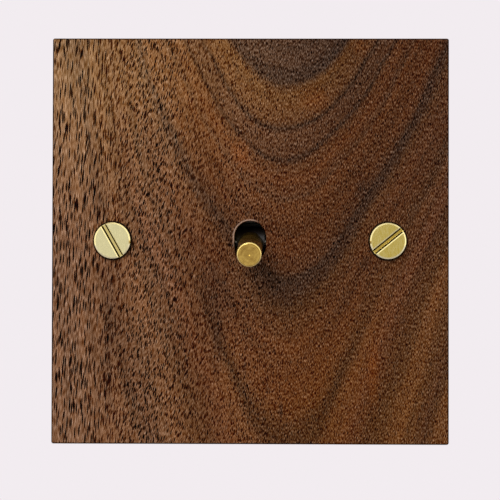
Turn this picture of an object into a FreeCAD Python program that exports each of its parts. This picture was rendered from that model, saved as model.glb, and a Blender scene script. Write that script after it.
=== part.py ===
import FreeCAD, Part
import math
import os

# Two-way toggle light switch: a turned brass dolly in a square walnut plate.
# Millimetres. X is to the right seen from the room, Z is up and Y goes into the wall.
# The origin is the middle of the plate's back face, which lies on the wall at y = 0.

Vector = FreeCAD.Vector
INTO_WALL = Vector(0, 1, 0)

# Wooden plate
PLATE_WIDTH = 87.0
PLATE_HEIGHT = 89.0
PLATE_THICKNESS = 9.0
PLATE_EDGE_ROUND = 0.45
SLOT_EDGE_ROUND = 0.15

# Fixing screws, at the standard centres of a single wall box
FIXING_CENTRES = 60.3
FIXING_HEAD_DIAMETER = 7.9
FIXING_HEAD_HEIGHT = 1.8
FIXING_HEAD_CHAMFER = 0.3
FIXING_SLOT_WIDTH = 1.1
FIXING_SLOT_DEPTH = 1.0
FIXING_THREAD_DIAMETER = 3.5
FIXING_NECK_DIAMETER = 3.1
FIXING_LENGTH = 30.0
FIXING_TIP_CHAMFER = 0.5
FIXING_HOLE_CLEARANCE = 0.35
LEFT_SLOT_ANGLE = 119.5
RIGHT_SLOT_ANGLE = 39.2

# Dolly and its carrier; distances along the dolly are counted from the pivot
THROW_ANGLE = 10.0
PIVOT_AHEAD_OF_WALL = 1.6
DOLLY_DIAMETER = 5.4
DOLLY_STAND_OUT = 11.6
DOLLY_TIP_CHAMFER = 0.3
DOLLY_PIP_DIAMETER = 0.6
DOLLY_PIP_DEPTH = 0.15
DOLLY_SIDE_CLEARANCE = 0.8
DOLLY_END_CLEARANCE = 0.4
HUB_DIAMETER = 6.8
HUB_WIDTH = 6.2
COLLAR_DIAMETER = 5.2
COLLAR_STEP = 0.2
STEM_DIAMETER = 3.2
STEM_LENGTH = 7.4
STEM_CLEARANCE = 0.02
STEM_END_GAP = 0.2
TAIL_DIAMETER = 5.2
TAIL_REACH = 6.9
PIVOT_PIN_DIAMETER = 2.0
PIVOT_PIN_CHAMFER = 0.15
PIVOT_RUNNING_CLEARANCE = 0.04
PIVOT_SEAT_CLEARANCE = 0.01

# Spring plunger in the tail
PLUNGER_DIAMETER = 2.5
PLUNGER_LENGTH = 4.0
PLUNGER_CLEARANCE = 0.03
NOSE_GAP = 0.05
SPRING_WIRE = 0.35
SPRING_CLEARANCE = 0.1
SPRING_TURNS = 6
SPRING_END_GAP = 0.05
SPRING_SEAT_WALL = 0.6

# Rocking contact; its axis lies on the back of its strip
ROCKER_AXIS_DEPTH = 8.25
ROCKER_ANGLE = 6.0
ROCKER_LENGTH = 18.0
ROCKER_WIDTH = 5.0
ROCKER_THICKNESS = 0.8
ROCKER_CORNER = 1.0
RIDGE_RADIUS = 0.9
RIDGE_INSET = 0.1
RIDGE_CLEARANCE = 0.05
TIP_SPHERE_RADIUS = 1.4
TIP_HEIGHT = 0.9
CONTACT_OFFSET = 7.5
CONTACT_GAP = 0.04
FIXED_CONTACT_DIAMETER = 3.0
FIXED_CONTACT_THICKNESS = 0.6

# Terminals
ARM_THICKNESS = 1.0
ARM_WIDTH = 5.0
ARM_OVERHANG = 2.3
ARM_LEVEL_SPACE = 0.9
SADDLE_HEIGHT = 4.0
SADDLE_PILLAR_HEIGHT = 3.2
SADDLE_LIP = 0.35
CHEEK_GAP = 0.3
CHEEK_THICKNESS = 0.8
CHEEK_COVER = 0.55
BLOCK_WIDTH = 7.5
BLOCK_HEIGHT = 7.0
BLOCK_DEPTH = 10.0
BLOCK_ROW = 14.5
LOWER_BLOCK_OFFSET = 5.75
BLOCK_CLEARANCE = 0.15
WIRE_HOLE_DIAMETER = 3.6
WIRE_HOLE_DEPTH = 4.6
WIRE_ENTRY_DIAMETER = 4.4
CLAMP_THREAD_DIAMETER = 3.0
CLAMP_THREAD_CLEARANCE = 0.02
CLAMP_STAND_OFF = 0.1
CLAMP_HEAD_GAP = 0.7
CLAMP_HEAD_DIAMETER = 4.2
CLAMP_HEAD_HEIGHT = 1.8
CLAMP_ACCESS_CLEARANCE = 0.4

# Moulded cover and body
COVER_THICKNESS = 3.0
BOSS_WIDTH = 14.0
BOSS_HEIGHT = 16.0
BOSS_REACH = 5.2
BOSS_CORNER = 1.5
HUB_SIDE_CLEARANCE = 0.3
HUB_END_CLEARANCE = 0.8
HUB_BACK_CLEARANCE = 0.4
STOP_GAP = 0.05
STOP_SIDE_CLEARANCE = 0.8
PIN_END_WALL = 0.8
POST_WIDTH = 3.0
POST_HEIGHT = 3.5
EAR_WIDTH = 10.0
EAR_OVERHANG = 3.5
EAR_CORNER = 2.0
BODY_SIDE_WALL = 3.5
BODY_END_WALL = 2.0
BODY_FLOOR = 3.4
BODY_CORNER = 1.5
BODY_BACK_ROUND = 0.8
PANEL_BORDER = 4.0
PANEL_SINK = 0.5
PANEL_CORNER = 1.5
WIRE_FUNNEL = 0.6
CHAMBER_SIDE_CLEARANCE = 0.9

# Screws that close the body and hold it on the yoke
HOUSING_SCREW_OFFSET = 9.0
HOUSING_SCREW_DIAMETER = 2.5
HOUSING_SCREW_BITE = 2.0
HOUSING_HEAD_DIAMETER = 4.4
HOUSING_HEAD_HEIGHT = 1.7
HOUSING_HEAD_SINK = 0.4
HOUSING_HEAD_CLEARANCE = 0.2
HOUSING_HOLE_CLEARANCE = 0.15
MODULE_SCREW_DIAMETER = 3.0
MODULE_SCREW_LENGTH = 6.0
MODULE_HEAD_DIAMETER = 5.5
MODULE_HEAD_HEIGHT = 1.9
MODULE_HEAD_GAP = 0.75
MODULE_HOLE_CLEARANCE = 0.15
MODULE_TIP_CLEARANCE = 0.75
THREAD_SEAT_CLEARANCE = 0.02
SMALL_SCREW_SLOT_WIDTH = 0.7
SMALL_SCREW_SLOT_DEPTH = 0.8
SMALL_SCREW_CHAMFER = 0.3
SMALL_SCREW_TURNS = [25.0, 70.0, 140.0, 110.0]

# Steel yoke let into the back of the plate
YOKE_WIDTH = 46.0
YOKE_HEIGHT = 64.0
YOKE_THICKNESS = 1.5
YOKE_CORNER = 3.0
YOKE_FIT_GAP = 0.25
WINDOW_GAP = 0.5
POCKET_GAP = 1.0
POCKET_FLOOR_GAP = 0.3
POCKET_CORNER = 3.0
WOOD_SCREW_SIDE_MARGIN = 4.0
WOOD_SCREW_END_MARGIN = 4.0
WOOD_SCREW_DIAMETER = 2.5
WOOD_SCREW_HEAD_DIAMETER = 5.0
WOOD_SCREW_LENGTH = 6.5
WOOD_SCREW_POINT = 2.0
WOOD_SCREW_CLEARANCE = 0.03

# Earth terminal on the yoke
EARTH_DEPTH = 8.5
EARTH_WIRE_DEPTH = 3.6
EARTH_CHAMFER = 0.4
EARTH_SPIGOT_DIAMETER = 3.0

# Places that follow from the sizes above
PLATE_FRONT = -PLATE_THICKNESS
PIVOT = Vector(0, -PIVOT_AHEAD_OF_WALL, 0)
ROCKER_AXIS = Vector(0, ROCKER_AXIS_DEPTH, 0)
THROW = math.radians(THROW_ANGLE)
DOLLY_FOOT = HUB_DIAMETER / 2 + COLLAR_STEP
DOLLY_REACH = PLATE_THICKNESS - PIVOT_AHEAD_OF_WALL + DOLLY_STAND_OUT
STEM_REACH = DOLLY_FOOT + STEM_LENGTH
ROCKER_FACE_DEPTH = ROCKER_AXIS_DEPTH - ROCKER_THICKNESS
PLUNGER_REACH = ROCKER_FACE_DEPTH + PIVOT_AHEAD_OF_WALL - NOSE_GAP
PLUNGER_FOOT = PLUNGER_REACH - PLUNGER_LENGTH
SPRING_FOOT = PIVOT_PIN_DIAMETER / 2 + PIVOT_RUNNING_CLEARANCE + SPRING_SEAT_WALL
PLUNGER_BORE_RADIUS = PLUNGER_DIAMETER / 2 + PLUNGER_CLEARANCE
PIN_LENGTH = BOSS_WIDTH - 2 * PIN_END_WALL

# The closed contact face is a hair behind the furthest point of the tilted silver dome
ROCKER_TILT = math.radians(ROCKER_ANGLE)
TIP_SPHERE_BACK = TIP_HEIGHT - TIP_SPHERE_RADIUS
DOME_DEPTH = CONTACT_OFFSET * math.sin(ROCKER_TILT) + TIP_SPHERE_BACK * math.cos(ROCKER_TILT)
CONTACT_DEPTH = ROCKER_AXIS_DEPTH + DOME_DEPTH + TIP_SPHERE_RADIUS + CONTACT_GAP
ARM_DEPTH = CONTACT_DEPTH + FIXED_CONTACT_THICKNESS
STRIP_DEPTH = ARM_DEPTH + ARM_THICKNESS + ARM_LEVEL_SPACE
CHAMBER_DEPTH = STRIP_DEPTH + ARM_THICKNESS
BLOCK_BACK = ARM_DEPTH + BLOCK_DEPTH
WIRE_DEPTH = ARM_DEPTH + WIRE_HOLE_DEPTH
BODY_BACK = BLOCK_BACK + BODY_FLOOR
BODY_WIDTH = 2 * (LOWER_BLOCK_OFFSET + BLOCK_WIDTH / 2 + BODY_SIDE_WALL)
BODY_HEIGHT = 2 * (BLOCK_ROW + BLOCK_HEIGHT / 2 + BODY_END_WALL)
BLOCK_INNER_EDGE = BLOCK_ROW - BLOCK_HEIGHT / 2
ARM_END = CONTACT_OFFSET - ARM_OVERHANG
CHEEK_INSIDE = ROCKER_WIDTH / 2 + CHEEK_GAP
CHEEK_OUTSIDE = CHEEK_INSIDE + CHEEK_THICKNESS
CHAMBER_HALF_WIDTH = CHEEK_OUTSIDE + CHAMBER_SIDE_CLEARANCE
TERMINAL_PLACES = [(0.0, BLOCK_ROW), (-LOWER_BLOCK_OFFSET, -BLOCK_ROW), (LOWER_BLOCK_OFFSET, -BLOCK_ROW)]
FIXING_PLACES = [-FIXING_CENTRES / 2, FIXING_CENTRES / 2]
MODULE_SCREW_OFFSET = BODY_HEIGHT / 2 + MODULE_HEAD_GAP + MODULE_HEAD_DIAMETER / 2
MODULE_PLACES = [-MODULE_SCREW_OFFSET, MODULE_SCREW_OFFSET]
HOUSING_PLACES = [-HOUSING_SCREW_OFFSET, HOUSING_SCREW_OFFSET]
WOOD_SCREW_ACROSS = YOKE_WIDTH / 2 - WOOD_SCREW_SIDE_MARGIN
WOOD_SCREW_RISE = YOKE_HEIGHT / 2 - WOOD_SCREW_END_MARGIN
WOOD_SCREW_PLACES = [
    (across * WOOD_SCREW_ACROSS, upright * WOOD_SCREW_RISE)
    for across in (-1, 1)
    for upright in (-1, 1)
]

# The earth terminal is midway between the body's side and the yoke's edge, level with the body's end
EARTH_ACROSS = (BODY_WIDTH + YOKE_WIDTH) / 4
EARTH_DROP = BODY_HEIGHT / 2


def box(x_low, x_high, y_low, y_high, z_low, z_high):
    """A square-edged block between two opposite corners."""
    size = (x_high - x_low, y_high - y_low, z_high - z_low)
    return Part.makeBox(*size, Vector(x_low, y_low, z_low))


def edges_along_wall_axis(shape):
    """The straight edges that run into the wall."""
    boxes = [(edge, edge.BoundBox) for edge in shape.Edges]
    return [edge for edge, size in boxes if size.YLength > max(size.XLength, size.ZLength)]


def slab(width, height, y_front, y_back, corner, x=0.0, z=0.0):
    """A block centred on (x, z) whose four corners, seen from the front, are rounded."""
    block = box(x - width / 2, x + width / 2, y_front, y_back, z - height / 2, z + height / 2)
    return block.makeFillet(corner, edges_along_wall_axis(block))


def rod(radius, start, end):
    """A round bar from one point to another."""
    along = end - start
    return Part.makeCylinder(radius, along.Length, start, along)


def rod_into_wall(radius, y_front, y_back, x=0.0, z=0.0):
    """A round bar that runs into the wall at (x, z)."""
    return rod(radius, Vector(x, y_front, z), Vector(x, y_back, z))


def rod_across(radius, x_left, x_right, centre):
    """A round bar along X through a centre."""
    return rod(radius, Vector(x_left, centre.y, centre.z), Vector(x_right, centre.y, centre.z))


def rod_upright(radius, z_low, z_high, x, y):
    """A round bar along Z at (x, y)."""
    return rod(radius, Vector(x, y, z_low), Vector(x, y, z_high))


def obround(width, length, y_front, y_back):
    """A round-ended block, taller than it is wide, through the middle of the plate."""
    rise = (length - width) / 2
    ends = [rod_into_wall(width / 2, y_front, y_back, 0, side * rise) for side in (-1, 1)]
    middle = box(-width / 2, width / 2, y_front, y_back, -rise, rise)
    return middle.fuse(ends).removeSplitter()


def turned(profile, x=0.0, z=0.0):
    """A turned solid about an axis into the wall; the profile is (radius, depth) points."""
    points = [Vector(radius, depth, 0) for radius, depth in profile]
    face = Part.Face(Part.makePolygon(points + points[:1]))
    solid = face.revolve(Vector(0, 0, 0), INTO_WALL, 360)
    solid.translate(Vector(x, 0, z))
    return solid


def screw_slot(width, depth, length, y_face, sinks, x, z, angle):
    """A cutter for a driver slot; sinks is 1 on a head that faces the room, -1 on one that faces back."""
    y_floor = y_face + sinks * depth
    cutter = box(-length, length, min(y_face, y_floor), max(y_face, y_floor), -width / 2, width / 2)
    cutter.rotate(Vector(0, 0, 0), -INTO_WALL, angle)
    cutter.translate(Vector(x, 0, z))
    return cutter


def small_slot(head_diameter, y_face, x, z, angle):
    """The driver slot of a small screw whose head faces back."""
    width, depth = SMALL_SCREW_SLOT_WIDTH, SMALL_SCREW_SLOT_DEPTH
    return screw_slot(width, depth, head_diameter, y_face, -1, x, z, angle)


def tilted(shape, centre, angle):
    """The shape turned about an axis along X through a centre."""
    turned_shape = shape.copy()
    turned_shape.rotate(centre, Vector(1, 0, 0), angle)
    return turned_shape


def along_dolly(reach):
    """The point at a distance from the pivot towards the dolly's tip, before the dolly is tilted."""
    return PIVOT - INTO_WALL * reach


def along_tail(reach):
    """The point at a distance from the pivot towards the plunger's nose, before the dolly is tilted."""
    return PIVOT + INTO_WALL * reach


def make_faceplate():
    """Walnut plate: eased edges, dolly slot, fixing holes, and the recesses for the yoke and cradle."""
    half_width, half_height = PLATE_WIDTH / 2, PLATE_HEIGHT / 2
    plate = box(-half_width, half_width, PLATE_FRONT, 0, -half_height, half_height)
    front_edges = [edge for edge in plate.Edges if edge.BoundBox.YMax < PLATE_FRONT + PLATE_EDGE_ROUND]
    plate = plate.makeFillet(PLATE_EDGE_ROUND, front_edges + edges_along_wall_axis(plate))

    slot_width = DOLLY_DIAMETER + 2 * DOLLY_SIDE_CLEARANCE
    swing = (PLATE_THICKNESS - PIVOT_AHEAD_OF_WALL) * math.tan(THROW)
    dolly_half_height = DOLLY_DIAMETER / 2 / math.cos(THROW)
    slot_length = 2 * (swing + dolly_half_height + DOLLY_END_CLEARANCE)
    plate = plate.cut(obround(slot_width, slot_length, PLATE_FRONT, 0))
    slot_edges = [
        edge
        for edge in plate.Edges
        if edge.BoundBox.YMax < PLATE_FRONT + SLOT_EDGE_ROUND
        and abs(edge.CenterOfMass.x) < slot_width
        and abs(edge.CenterOfMass.z) < slot_length
    ]
    plate = plate.makeFillet(SLOT_EDGE_ROUND, slot_edges)

    yoke_recess = slab(
        YOKE_WIDTH + 2 * YOKE_FIT_GAP, YOKE_HEIGHT + 2 * YOKE_FIT_GAP, -YOKE_THICKNESS, 0, YOKE_CORNER
    )
    pocket_front = -BOSS_REACH - POCKET_FLOOR_GAP
    cradle_pocket = slab(
        BOSS_WIDTH + 2 * POCKET_GAP, BOSS_HEIGHT + 2 * POCKET_GAP, pocket_front, 0, POCKET_CORNER
    )
    cutters = [yoke_recess, cradle_pocket]
    hole_radius = FIXING_THREAD_DIAMETER / 2 + FIXING_HOLE_CLEARANCE
    cutters += [rod_into_wall(hole_radius, PLATE_FRONT, 0, x) for x in FIXING_PLACES]
    tip_depth = COVER_THICKNESS - MODULE_SCREW_LENGTH
    tip_radius = MODULE_SCREW_DIAMETER / 2 + MODULE_TIP_CLEARANCE
    cutters += [rod_into_wall(tip_radius, tip_depth - MODULE_TIP_CLEARANCE, 0, 0, z) for z in MODULE_PLACES]
    cutters += [wood_screw(x, z, WOOD_SCREW_CLEARANCE) for x, z in WOOD_SCREW_PLACES]
    return plate.cut(cutters)


def make_fixing_screw(x, slot_angle):
    """Slotted brass screw: bevelled flat head, plain neck in the wood, thread behind the wall face."""
    head = FIXING_HEAD_DIAMETER / 2
    neck = FIXING_NECK_DIAMETER / 2
    thread = FIXING_THREAD_DIAMETER / 2
    face = PLATE_FRONT - FIXING_HEAD_HEIGHT
    tip = PLATE_FRONT + FIXING_LENGTH
    profile = [
        (0, face),
        (head - FIXING_HEAD_CHAMFER, face),
        (head, face + FIXING_HEAD_CHAMFER),
        (head, PLATE_FRONT),
        (neck, PLATE_FRONT),
        (neck, 0),
        (thread, thread - neck),
        (thread, tip - FIXING_TIP_CHAMFER),
        (thread - FIXING_TIP_CHAMFER, tip),
        (0, tip),
    ]
    slot = screw_slot(FIXING_SLOT_WIDTH, FIXING_SLOT_DEPTH, FIXING_HEAD_DIAMETER, face, 1, x, 0, slot_angle)
    return turned(profile, x).cut(slot)


def make_yoke():
    """Flat steel strap with a window for the cradle, tapped holes and countersunk holes."""
    yoke = slab(YOKE_WIDTH, YOKE_HEIGHT, -YOKE_THICKNESS, 0, YOKE_CORNER)
    window = slab(
        BOSS_WIDTH + 2 * WINDOW_GAP, BOSS_HEIGHT + 2 * WINDOW_GAP, -YOKE_THICKNESS, 0, BOSS_CORNER
    )
    cutters = [window]
    tapped = MODULE_SCREW_DIAMETER / 2 + THREAD_SEAT_CLEARANCE
    cutters += [rod_into_wall(tapped, -YOKE_THICKNESS, 0, 0, z) for z in MODULE_PLACES]
    cutters += [wood_screw(x, z, WOOD_SCREW_CLEARANCE) for x, z in WOOD_SCREW_PLACES]
    spigot = EARTH_SPIGOT_DIAMETER / 2 + THREAD_SEAT_CLEARANCE
    cutters += [rod_into_wall(spigot, -YOKE_THICKNESS, 0, EARTH_ACROSS, -EARTH_DROP)]
    return yoke.cut(cutters)


def wood_screw(x, z, growth):
    """Countersunk wood screw driven from the back, or its hole when growth is the clearance round it."""
    head = WOOD_SCREW_HEAD_DIAMETER / 2 + growth
    shank = WOOD_SCREW_DIAMETER / 2 + growth
    tip = -WOOD_SCREW_LENGTH - growth
    profile = [
        (0, 0),
        (head, 0),
        (shank, shank - head),
        (shank, tip + WOOD_SCREW_POINT),
        (0, tip),
    ]
    return turned(profile, x, z)


def make_wood_screws():
    """Four countersunk screws that hold the yoke in the plate."""
    screws = []
    for (x, z), turn in zip(WOOD_SCREW_PLACES, SMALL_SCREW_TURNS):
        slot = small_slot(WOOD_SCREW_HEAD_DIAMETER, 0, x, z, turn)
        screws.append(wood_screw(x, z, 0).cut(slot))
    return Part.makeCompound(screws)


def make_cover():
    """Moulded front of the mechanism: cradle for the hub, stop slot for the tail, posts and ears."""
    ear_end = MODULE_SCREW_OFFSET + EAR_OVERHANG
    plate = slab(BODY_WIDTH, BODY_HEIGHT, 0, COVER_THICKNESS, BODY_CORNER)
    ears = slab(EAR_WIDTH, 2 * ear_end, 0, COVER_THICKNESS, EAR_CORNER)
    boss = slab(BOSS_WIDTH, BOSS_HEIGHT, -BOSS_REACH, COVER_THICKNESS, BOSS_CORNER)
    posts = [
        box(x - POST_WIDTH / 2, x + POST_WIDTH / 2, 0, ARM_DEPTH, z - POST_HEIGHT / 2, z + POST_HEIGHT / 2)
        for x, z in TERMINAL_PLACES
    ]
    cover = plate.fuse([ears, boss] + posts).removeSplitter()

    hub_half_width = HUB_WIDTH / 2 + HUB_SIDE_CLEARANCE
    hub_half_height = HUB_DIAMETER / 2 + HUB_END_CLEARANCE
    cavity_back = HUB_DIAMETER / 2 - PIVOT_AHEAD_OF_WALL + HUB_BACK_CLEARANCE
    cavity = box(
        -hub_half_width, hub_half_width, -BOSS_REACH, cavity_back, -hub_half_height, hub_half_height
    )
    # The tail meets the end of this slot at each end of the throw
    swing = (COVER_THICKNESS + PIVOT_AHEAD_OF_WALL) * math.tan(THROW)
    stop_half = swing + TAIL_DIAMETER / 2 / math.cos(THROW) + STOP_GAP
    stop_slot = obround(TAIL_DIAMETER + 2 * STOP_SIDE_CLEARANCE, 2 * stop_half, 0, COVER_THICKNESS)
    seat = PIVOT_PIN_DIAMETER / 2 + PIVOT_SEAT_CLEARANCE
    pin_hole = rod_across(seat, -BOSS_WIDTH / 2, PIN_LENGTH / 2, PIVOT)
    cutters = [cavity, stop_slot, pin_hole]
    clear = MODULE_SCREW_DIAMETER / 2 + MODULE_HOLE_CLEARANCE
    cutters += [rod_into_wall(clear, 0, COVER_THICKNESS, 0, z) for z in MODULE_PLACES]
    pilot = HOUSING_SCREW_DIAMETER / 2 + THREAD_SEAT_CLEARANCE
    pilot_front = COVER_THICKNESS - HOUSING_SCREW_BITE
    cutters += [rod_into_wall(pilot, pilot_front, COVER_THICKNESS, x) for x in HOUSING_PLACES]
    return cover.cut(cutters)


def make_body():
    """Moulded box behind the cover: contact chamber, terminal pockets, wire entries and screw wells."""
    body = slab(BODY_WIDTH, BODY_HEIGHT, COVER_THICKNESS, BODY_BACK, BODY_CORNER)
    back_edges = [edge for edge in body.Edges if edge.BoundBox.YMin > BODY_BACK - BODY_BACK_ROUND]
    body = body.makeFillet(BODY_BACK_ROUND, back_edges)

    half = CHAMBER_HALF_WIDTH
    cutters = [box(-half, half, COVER_THICKNESS, CHAMBER_DEPTH, -BLOCK_INNER_EDGE, BLOCK_INNER_EDGE)]
    pocket_half_width = BLOCK_WIDTH / 2 + BLOCK_CLEARANCE
    pocket_half_height = BLOCK_HEIGHT / 2 + BLOCK_CLEARANCE
    access = CLAMP_HEAD_DIAMETER / 2 + CLAMP_ACCESS_CLEARANCE
    for x, z in TERMINAL_PLACES:
        mouth = Vector(x, WIRE_DEPTH, math.copysign(BODY_HEIGHT / 2, z))
        entry = WIRE_ENTRY_DIAMETER / 2
        inwards = Vector(0, 0, -math.copysign(1, z))
        cutters += [
            box(
                x - pocket_half_width, x + pocket_half_width, COVER_THICKNESS, BLOCK_BACK,
                z - pocket_half_height, z + pocket_half_height,
            ),
            rod(entry, mouth, Vector(x, WIRE_DEPTH, z)),
            Part.makeCone(entry + WIRE_FUNNEL, entry, WIRE_FUNNEL, mouth, inwards),
            rod_into_wall(access, BLOCK_BACK, BODY_BACK, x, z),
        ]
    clear = HOUSING_SCREW_DIAMETER / 2 + HOUSING_HOLE_CLEARANCE
    well = HOUSING_HEAD_DIAMETER / 2 + HOUSING_HEAD_CLEARANCE
    well_floor = BODY_BACK - HOUSING_HEAD_SINK - HOUSING_HEAD_HEIGHT
    for x in HOUSING_PLACES:
        cutters += [
            rod_into_wall(clear, COVER_THICKNESS, BODY_BACK, x),
            rod_into_wall(well, well_floor, BODY_BACK, x),
        ]
    cutters += [side_panel(side) for side in (-1, 1)]
    return body.cut(cutters)


def side_panel(side):
    """The shallow moulded panel sunk in one side of the body."""
    face = side * BODY_WIDTH / 2
    x_low, x_high = sorted((face, face - side * PANEL_SINK))
    half_height = BODY_HEIGHT / 2 - PANEL_BORDER
    panel = box(
        x_low, x_high, COVER_THICKNESS + PANEL_BORDER, BODY_BACK - PANEL_BORDER, -half_height, half_height
    )
    short_edges = [edge for edge in panel.Edges if edge.BoundBox.XLength > PANEL_SINK / 2]
    return panel.makeFillet(PANEL_CORNER, short_edges)


def back_screw(x, z, shank, head, tip, seat, head_height, slot_angle):
    """A slotted screw whose head faces back, from its tip to its seat under the head."""
    top = seat + head_height
    profile = [
        (0, tip),
        (shank - SMALL_SCREW_CHAMFER, tip),
        (shank, tip + SMALL_SCREW_CHAMFER),
        (shank, seat),
        (head, seat),
        (head, top - SMALL_SCREW_CHAMFER),
        (head - SMALL_SCREW_CHAMFER, top),
        (0, top),
    ]
    return turned(profile, x, z).cut(small_slot(2 * head, top, x, z, slot_angle))


def make_housing_screws():
    """Two long screws that close the body against the cover."""
    seat = BODY_BACK - HOUSING_HEAD_SINK - HOUSING_HEAD_HEIGHT
    tip = COVER_THICKNESS - HOUSING_SCREW_BITE
    shank, head = HOUSING_SCREW_DIAMETER / 2, HOUSING_HEAD_DIAMETER / 2
    screws = [
        back_screw(x, 0, shank, head, tip, seat, HOUSING_HEAD_HEIGHT, turn)
        for x, turn in zip(HOUSING_PLACES, SMALL_SCREW_TURNS)
    ]
    return Part.makeCompound(screws)


def make_module_screws():
    """Two screws through the ears of the cover into the yoke."""
    tip = COVER_THICKNESS - MODULE_SCREW_LENGTH
    shank, head = MODULE_SCREW_DIAMETER / 2, MODULE_HEAD_DIAMETER / 2
    screws = [
        back_screw(0, z, shank, head, tip, COVER_THICKNESS, MODULE_HEAD_HEIGHT, turn)
        for z, turn in zip(MODULE_PLACES, SMALL_SCREW_TURNS)
    ]
    return Part.makeCompound(screws)


def clamp_screw(x, z, wire_depth, block_back, turn):
    """A terminal screw backed out until its tip is just clear of the wire hole."""
    tip = wire_depth + WIRE_HOLE_DIAMETER / 2 + CLAMP_STAND_OFF
    seat = block_back + CLAMP_HEAD_GAP
    shank, head = CLAMP_THREAD_DIAMETER / 2, CLAMP_HEAD_DIAMETER / 2
    return back_screw(x, z, shank, head, tip, seat, CLAMP_HEAD_HEIGHT, turn)


def make_terminal_screws():
    """The clamp screws of the three terminals."""
    screws = [
        clamp_screw(x, z, WIRE_DEPTH, BLOCK_BACK, turn)
        for (x, z), turn in zip(TERMINAL_PLACES, SMALL_SCREW_TURNS)
    ]
    return Part.makeCompound(screws)


def make_pivot_pin():
    """Plain steel pin through the cradle and the hub."""
    pin = rod_across(PIVOT_PIN_DIAMETER / 2, -PIN_LENGTH / 2, PIN_LENGTH / 2, PIVOT)
    rims = [edge for edge in pin.Edges if edge.Closed]
    return pin.makeChamfer(PIVOT_PIN_CHAMFER, rims)


def make_dolly():
    """Turned brass dolly, bored at the foot for the carrier's stem, at the lower end of its throw."""
    radius = DOLLY_DIAMETER / 2
    pip = DOLLY_PIP_DIAMETER / 2
    tip = PIVOT.y - DOLLY_REACH
    foot = PIVOT.y - DOLLY_FOOT
    bore = STEM_DIAMETER / 2 + STEM_CLEARANCE
    bore_end = PIVOT.y - STEM_REACH - STEM_END_GAP
    profile = [
        (0, tip + DOLLY_PIP_DEPTH),
        (pip, tip),
        (radius - DOLLY_TIP_CHAMFER, tip),
        (radius, tip + DOLLY_TIP_CHAMFER),
        (radius, foot),
        (bore, foot),
        (bore, bore_end),
        (0, bore_end),
    ]
    return tilted(turned(profile), PIVOT, THROW_ANGLE)


def make_carrier():
    """Nylon hub with a stem inside the dolly and a bored tail for the plunger."""
    hub = rod_across(HUB_DIAMETER / 2, -HUB_WIDTH / 2, HUB_WIDTH / 2, PIVOT)
    collar = rod(COLLAR_DIAMETER / 2, PIVOT, along_dolly(DOLLY_FOOT))
    stem = rod(STEM_DIAMETER / 2, PIVOT, along_dolly(STEM_REACH))
    tail = rod(TAIL_DIAMETER / 2, PIVOT, along_tail(TAIL_REACH))
    carrier = hub.fuse([collar, stem, tail]).removeSplitter()
    pin_hole = rod_across(
        PIVOT_PIN_DIAMETER / 2 + PIVOT_RUNNING_CLEARANCE, -HUB_WIDTH / 2, HUB_WIDTH / 2, PIVOT
    )
    plunger_bore = rod(PLUNGER_BORE_RADIUS, along_tail(SPRING_FOOT), along_tail(TAIL_REACH))
    return tilted(carrier.cut([pin_hole, plunger_bore]), PIVOT, THROW_ANGLE)


def make_plunger():
    """Round-nosed steel plunger in the tail's bore."""
    radius = PLUNGER_DIAMETER / 2
    nose_centre = along_tail(PLUNGER_REACH - radius)
    shank = rod(radius, along_tail(PLUNGER_FOOT), nose_centre)
    nose = Part.makeSphere(radius, nose_centre)
    return tilted(shank.fuse(nose).removeSplitter(), PIVOT, THROW_ANGLE)


def make_plunger_spring():
    """Coil spring between the bottom of the bore and the plunger."""
    coil_radius = PLUNGER_BORE_RADIUS - SPRING_CLEARANCE - SPRING_WIRE / 2
    length = PLUNGER_FOOT - SPRING_FOOT - SPRING_WIRE - SPRING_END_GAP
    path = Part.makeHelix(length / SPRING_TURNS, length, coil_radius)
    section = Part.Wire(Part.makeCircle(SPRING_WIRE / 2, Vector(coil_radius, 0, 0), INTO_WALL))
    spring = Part.Wire(path.Edges).makePipeShell([section], True, True)
    spring.rotate(Vector(0, 0, 0), Vector(1, 0, 0), -90)
    spring.translate(along_tail(SPRING_FOOT + SPRING_WIRE / 2))
    return tilted(spring, PIVOT, THROW_ANGLE)


def make_rocker():
    """Brass see-saw strip with a half-round ridge that sits in the saddle."""
    strip = slab(ROCKER_WIDTH, ROCKER_LENGTH, ROCKER_FACE_DEPTH, ROCKER_AXIS_DEPTH, ROCKER_CORNER)
    half_length = ROCKER_WIDTH / 2 - RIDGE_INSET
    ridge = rod_across(RIDGE_RADIUS, -half_length, half_length, ROCKER_AXIS)
    behind = box(
        -half_length, half_length, ROCKER_AXIS_DEPTH, ROCKER_AXIS_DEPTH + RIDGE_RADIUS,
        -RIDGE_RADIUS, RIDGE_RADIUS,
    )
    rocker = strip.fuse(ridge.common(behind)).removeSplitter()
    return tilted(rocker, ROCKER_AXIS, -ROCKER_ANGLE)


def make_moving_tips():
    """Two silver domes on the back of the see-saw."""
    tips = []
    for z in (-CONTACT_OFFSET, CONTACT_OFFSET):
        ball = Part.makeSphere(TIP_SPHERE_RADIUS, Vector(0, ROCKER_AXIS_DEPTH + TIP_SPHERE_BACK, z))
        behind = slab(
            2 * TIP_SPHERE_RADIUS, 2 * TIP_SPHERE_RADIUS, ROCKER_AXIS_DEPTH,
            ROCKER_AXIS_DEPTH + TIP_HEIGHT, TIP_SPHERE_RADIUS / 2, 0, z,
        )
        tips.append(tilted(ball.common(behind), ROCKER_AXIS, -ROCKER_ANGLE))
    return Part.makeCompound(tips)


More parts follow.
